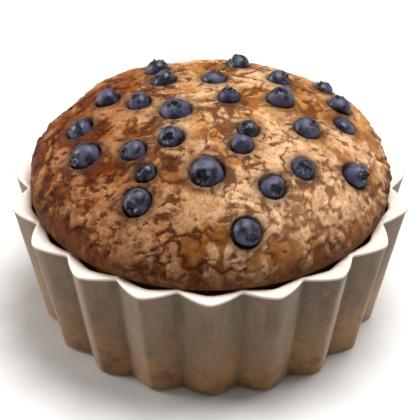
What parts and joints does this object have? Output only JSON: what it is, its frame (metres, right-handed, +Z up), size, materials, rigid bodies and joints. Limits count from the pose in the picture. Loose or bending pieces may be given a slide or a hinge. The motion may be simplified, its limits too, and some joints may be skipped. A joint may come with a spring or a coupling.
{
  "type": "muffin",
  "caption": "Domed blueberry muffin with a cracked golden crust and whole berries, standing in a fluted paper baking case with a turned-in lip.",
  "frame": {"origin": "middle of the paper case's flat underside, on the surface the muffin stands on", "axes": "+Z up through the top of the dome; the front of the muffin faces -Y, with +X to its right; a ridge of the case points to +Y and one to -Y"},
  "size_m": [0.0982, 0.0998, 0.0613],
  "materials": {
    "baked_paper": "stiff cream baking paper, stained golden brown by butter towards the foot",
    "muffin_crust": "baked crust, pale tan crumb islands with caramel-brown cracks and a dark edge",
    "blueberry_skin": "dark slate-blue berry skin with a dull waxy bloom"
  },
  "bodies": {
    "root": {"baking_case": "baked_paper", "muffin": "muffin_crust", "blueberry_01": "blueberry_skin", "blueberry_02": "blueberry_skin", "blueberry_03": "blueberry_skin", "blueberry_04": "blueberry_skin", "blueberry_05": "blueberry_skin", "blueberry_06": "blueberry_skin", "blueberry_07": "blueberry_skin", "blueberry_08": "blueberry_skin", "blueberry_09": "blueberry_skin", "blueberry_10": "blueberry_skin", "blueberry_11": "blueberry_skin", "blueberry_12": "blueberry_skin", "blueberry_13": "blueberry_skin", "blueberry_14": "blueberry_skin", "blueberry_15": "blueberry_skin", "blueberry_16": "blueberry_skin", "blueberry_17": "blueberry_skin", "blueberry_18": "blueberry_skin", "blueberry_19": "blueberry_skin", "blueberry_20": "blueberry_skin", "blueberry_21": "blueberry_skin", "blueberry_22": "blueberry_skin", "blueberry_23": "blueberry_skin", "blueberry_24": "blueberry_skin", "blueberry_25": "blueberry_skin", "blueberry_26": "blueberry_skin", "blueberry_27": "blueberry_skin", "blueberry_28": "blueberry_skin", "blueberry_29": "blueberry_skin", "blueberry_30": "blueberry_skin", "blueberry_31": "blueberry_skin"}
  },
  "joints": []
}
